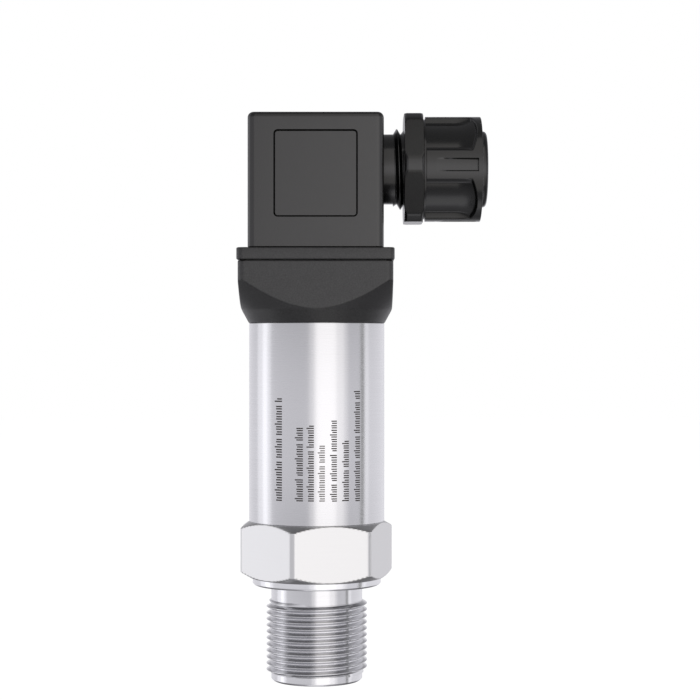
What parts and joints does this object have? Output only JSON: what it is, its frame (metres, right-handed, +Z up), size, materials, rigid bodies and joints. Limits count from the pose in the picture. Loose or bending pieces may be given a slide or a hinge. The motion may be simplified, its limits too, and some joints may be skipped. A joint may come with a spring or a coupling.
{
  "type": "pressure transmitter",
  "caption": "Pressure transmitter: threaded steel end with hexagon, steel tube, square plug hood on an adapter and a side cable gland.",
  "frame": {"origin": "middle of the pressure port's mouth, on the lower end face", "axes": "+Z up the housing's axis towards the plug, +X the way the cable gland points, the viewer of the picture at -Y"},
  "size_m": [0.0489, 0.0304, 0.1122],
  "materials": {
    "stainless_turned": "turned stainless steel, bright satin",
    "stainless_tube": "stainless tube, fine brushing round the tube",
    "adapter_plastic": "moulded glass-filled nylon, finely textured, dark grey",
    "hood_plastic": "moulded nylon, satin, dark grey",
    "gland_plastic": "moulded nylon, satin, near black",
    "seal_rubber": "nitrile rubber, matte black",
    "contact_metal": "tinned brass",
    "brass_bush": "plain turned brass",
    "screw_steel": "zinc-plated steel",
    "board_green": "glass-fibre board with green solder mask",
    "chip_black": "moulded epoxy",
    "trimmer_blue": "moulded plastic, blue",
    "silicon": "polished silicon",
    "wire_sheath": "silicone-sheathed wire, red"
  },
  "bodies": {
    "transmitter": {"process_connection": "stainless_turned", "weld_ring": "stainless_turned", "isolating_diaphragm": "stainless_turned", "sensor_header": "stainless_turned", "retaining_ring": "stainless_turned", "housing_tube": "stainless_tube", "adapter": "adapter_plastic", "contact_base": "adapter_plastic", "board_holder": "adapter_plastic", "sensor_seal": "seal_rubber", "adapter_seal": "seal_rubber", "contact_1_blade": "contact_metal", "contact_2_blade": "contact_metal", "contact_3_blade": "contact_metal", "contact_earth_blade": "contact_metal", "sensor_pins": "contact_metal", "threaded_bush": "brass_bush", "circuit_board": "board_green", "sensor_board": "board_green", "amplifier": "chip_black", "zero_trimmer": "trimmer_blue", "span_trimmer": "trimmer_blue", "sensor_chip": "silicon", "lead_wires": "wire_sheath"},
    "plug": {"profile_gasket": "seal_rubber", "terminal_insert": "hood_plastic", "contact_1_socket": "contact_metal", "contact_2_socket": "contact_metal", "contact_3_socket": "contact_metal", "contact_earth_socket": "contact_metal", "terminal_screws": "screw_steel", "plug_hood": "hood_plastic", "gland_body": "gland_plastic", "cable_seal": "seal_rubber"},
    "gland_washer": {"pressure_washer": "gland_plastic"},
    "gland_nut": {"gland_nut": "gland_plastic"},
    "screw_washer": {"screw_washer": "seal_rubber"},
    "fixing_screw": {"fixing_screw": "screw_steel"}
  },
  "joints": [
    {"name": "plug_lift", "type": "slide", "parent": "transmitter", "child": "plug", "axis": [0, 0, 1], "range_m": [0, 0.02]},
    {"name": "nut_advance", "type": "slide", "parent": "plug", "child": "gland_washer", "axis": [1, 0, 0], "range_m": [0, 0.0045]},
    {"name": "nut_turn", "type": "hinge", "parent": "gland_washer", "child": "gland_nut", "pos_m": [0.025, 0, 0.1015], "axis": [1, 0, 0], "range_deg": [0, 1080]},
    {"name": "screw_rise", "type": "slide", "parent": "plug", "child": "screw_washer", "axis": [0, 0, 1], "range_m": [0, 0.005]},
    {"name": "screw_turn", "type": "hinge", "parent": "screw_washer", "child": "fixing_screw", "pos_m": [0, 0, 0.108], "axis": [0, 0, 1], "range_deg": [0, 3600]}
  ],
  "couplings": [
    {"joint": "nut_turn", "follows": "nut_advance", "rad_per_m": 4188.8},
    {"joint": "screw_turn", "follows": "screw_rise", "rad_per_m": 12566}
  ]
}
